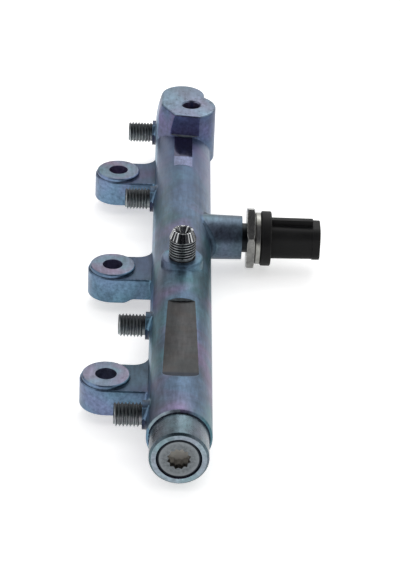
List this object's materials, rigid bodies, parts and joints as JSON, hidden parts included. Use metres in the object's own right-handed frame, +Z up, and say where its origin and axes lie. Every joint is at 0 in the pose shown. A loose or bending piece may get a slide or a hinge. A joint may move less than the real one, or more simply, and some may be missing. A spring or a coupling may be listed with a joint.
{
  "type": "fuel rail",
  "caption": "Forged high-pressure fuel rail: a thick tube with threaded pipe spigots, bolt lugs, a tapped boss, an end plug and a screwed-in pressure sensor.",
  "frame": {"origin": "axis of the middle bolt hole, on the seat face of its lug", "axes": "+Y along the rail from the end plug to the closed end, +X from the bolt line to the pressure sensor, +Z up from the seats"},
  "size_m": [0.1251, 0.3613, 0.0519],
  "materials": {
    "plated_steel": "zinc-plated forging with a blue passivation, matt, smoother on the milled pads",
    "plug_steel": "turned steel, dull",
    "sensor_steel": "turned steel, plain",
    "can_steel": "stainless steel, satin",
    "seal_iron": "soft iron, plain",
    "housing_plastic": "glass-filled moulding, dull black",
    "spacer_plastic": "plain moulding",
    "board_laminate": "green solder mask",
    "chip_resin": "moulded resin",
    "capacitor_ceramic": "ceramic with tinned ends",
    "contact_brass": "tin-plated bronze",
    "ring_rubber": "plain black rubber"
  },
  "bodies": {
    "root": {"rail_body": "plated_steel", "end_plug": "plug_steel", "sensor_seal": "seal_iron", "sensor_port": "sensor_steel", "sensor_diaphragm": "sensor_steel", "board_spacer": "spacer_plastic", "circuit_board": "board_laminate", "board_chip": "chip_resin", "board_capacitors": "capacitor_ceramic", "sensor_can": "can_steel", "sensor_housing": "housing_plastic", "housing_o_ring": "ring_rubber", "terminal_1": "contact_brass", "contact_spring_1": "contact_brass", "terminal_2": "contact_brass", "contact_spring_2": "contact_brass", "terminal_3": "contact_brass", "contact_spring_3": "contact_brass"}
  },
  "joints": []
}
